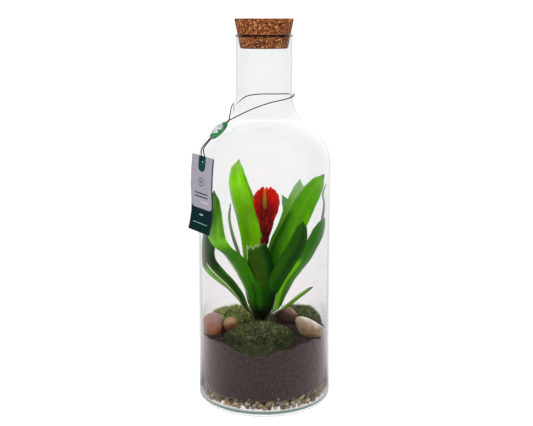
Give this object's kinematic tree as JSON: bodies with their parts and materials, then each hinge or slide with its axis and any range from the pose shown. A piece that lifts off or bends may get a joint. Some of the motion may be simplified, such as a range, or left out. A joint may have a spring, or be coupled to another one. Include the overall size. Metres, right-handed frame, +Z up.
{
  "type": "potted bromeliad in a corked glass bottle",
  "caption": "Bromeliad with a red flower head, planted in a corked clear glass bottle over soil and gravel, with moss, pebbles and a blank hang tag on a cord.",
  "frame": {"origin": "centre of the bottle's flat base, on the surface that the bottle stands on", "axes": "+Z up along the bottle's axis, the front of the planting faces -Y, +X to the right as seen from the front"},
  "size_m": [0.169, 0.16, 0.458],
  "materials": {
    "clear_glass": "gloss",
    "cork": "matte",
    "gravel": "matte",
    "soil": "matte",
    "moss": "matte",
    "pebble": "satin",
    "crown": "satin",
    "flower_stalk": "satin",
    "flower_bract": "satin",
    "leaf": "satin",
    "tag_card": "matte",
    "bead_plastic": "gloss",
    "elastic_cord": "matte"
  },
  "bodies": {
    "root": {"bottle": "clear_glass", "cork_stopper": "cork", "gravel_layer": "gravel", "potting_soil": "soil", "moss_front": "moss", "moss_back_left": "moss", "moss_back_right": "moss", "pebble_pink": "pebble", "pebble_amber": "pebble", "pebble_brown": "pebble", "pebble_tan": "pebble", "crown_stem": "crown", "flower_stalk": "flower_stalk", "flower_head": "flower_bract", "leaf_back": "leaf", "leaf_right_front": "leaf", "leaf_left_tall": "leaf", "leaf_right_tall": "leaf", "leaf_right_back": "leaf", "leaf_left_front": "leaf", "leaf_back_upright": "leaf", "leaf_front_cut": "leaf", "leaf_left_edge": "leaf", "leaf_right_low": "leaf", "leaf_right_narrow": "leaf", "leaf_far_left": "leaf", "leaf_back_right_low": "leaf", "leaf_back_left_low": "leaf", "leaf_right_small": "leaf", "hang_tag": "tag_card", "cord_bead": "bead_plastic", "cord_neck_loop": "elastic_cord", "cord_tag_loop": "elastic_cord"}
  },
  "joints": []
}
